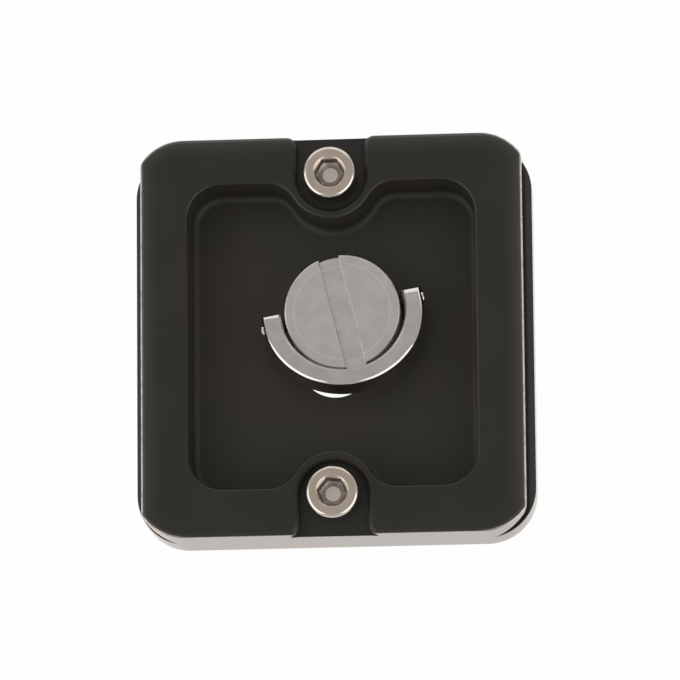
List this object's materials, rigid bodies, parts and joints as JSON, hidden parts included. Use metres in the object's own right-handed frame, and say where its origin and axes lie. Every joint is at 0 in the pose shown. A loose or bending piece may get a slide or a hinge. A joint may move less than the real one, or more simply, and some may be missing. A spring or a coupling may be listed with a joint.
{
  "type": "tripod quick release plate",
  "caption": "Square dovetail plate that clamps in a tripod head, with a slotted camera screw that slides in a floor slot and a D-ring that folds down to turn it by hand.",
  "frame": {"origin": "centre of the dovetail, in the plane of the base face that the pocket opens in", "axes": "+Z out of the base face, away from the camera that the plate carries; +Y along the dovetail; +X across it"},
  "size_m": [0.0396, 0.0402, 0.0151],
  "materials": {
    "anodised_aluminium": "matt black anodised",
    "pad_rubber": "moulded, matt",
    "stainless_steel": "turned, satin",
    "plated_steel": "bright plated, with fine turning marks",
    "polished_chrome": "polished",
    "spring_steel": "oiled black"
  },
  "bodies": {
    "plate": {"plate": "anodised_aluminium", "rubber_pad": "pad_rubber", "stop_screw_front": "stainless_steel", "stop_screw_rear": "stainless_steel"},
    "clip": {"retaining_clip": "spring_steel"},
    "screw": {"camera_screw": "plated_steel", "ring_pin_left": "plated_steel", "ring_pin_right": "plated_steel"},
    "ring": {"d_ring": "polished_chrome"}
  },
  "joints": [
    {"name": "slot_slide", "type": "slide", "parent": "plate", "child": "clip", "axis": [0, 1, 0], "range_m": [-0.00503, 0]},
    {"name": "screw_turn", "type": "hinge", "parent": "clip", "child": "screw", "pos_m": [0.00095, 0.00252, 0], "axis": [0, 0, 1], "continuous": true},
    {"name": "ring_fold", "type": "hinge", "parent": "screw", "child": "ring", "pos_m": [0.00095, 0.00252, -0.0027], "axis": [-0.9813, -0.1925, 0], "range_deg": [-24.5, 170.5]}
  ]
}
